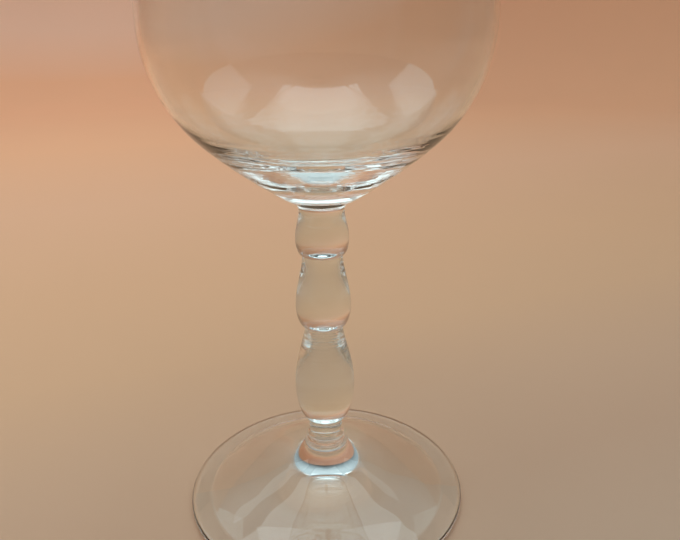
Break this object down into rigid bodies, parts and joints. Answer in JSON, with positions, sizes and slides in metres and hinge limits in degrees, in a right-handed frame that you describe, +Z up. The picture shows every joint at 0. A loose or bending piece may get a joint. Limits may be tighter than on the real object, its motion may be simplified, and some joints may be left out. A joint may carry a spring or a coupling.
{
  "type": "stemmed champagne glass",
  "caption": "Clear stemmed champagne glass: a round, heavy-based bowl on a beaded stem with a ringed neck and a domed round foot.",
  "frame": {"origin": "centre of the flat ring that the foot stands on", "axes": "+Z up along the glass's axis; X and Y are level and interchangeable, because the glass is a solid of revolution"},
  "size_m": [0.0724, 0.0724, 0.1768],
  "materials": {
    "clear_glass": "clear, fire-polished, with a faint blue-green cast where it is thick"
  },
  "bodies": {
    "root": {"bowl": "clear_glass", "bowl_collar": "clear_glass", "upper_bead": "clear_glass", "middle_bead": "clear_glass", "lower_bead": "clear_glass", "stem_neck": "clear_glass", "foot": "clear_glass"}
  },
  "joints": []
}
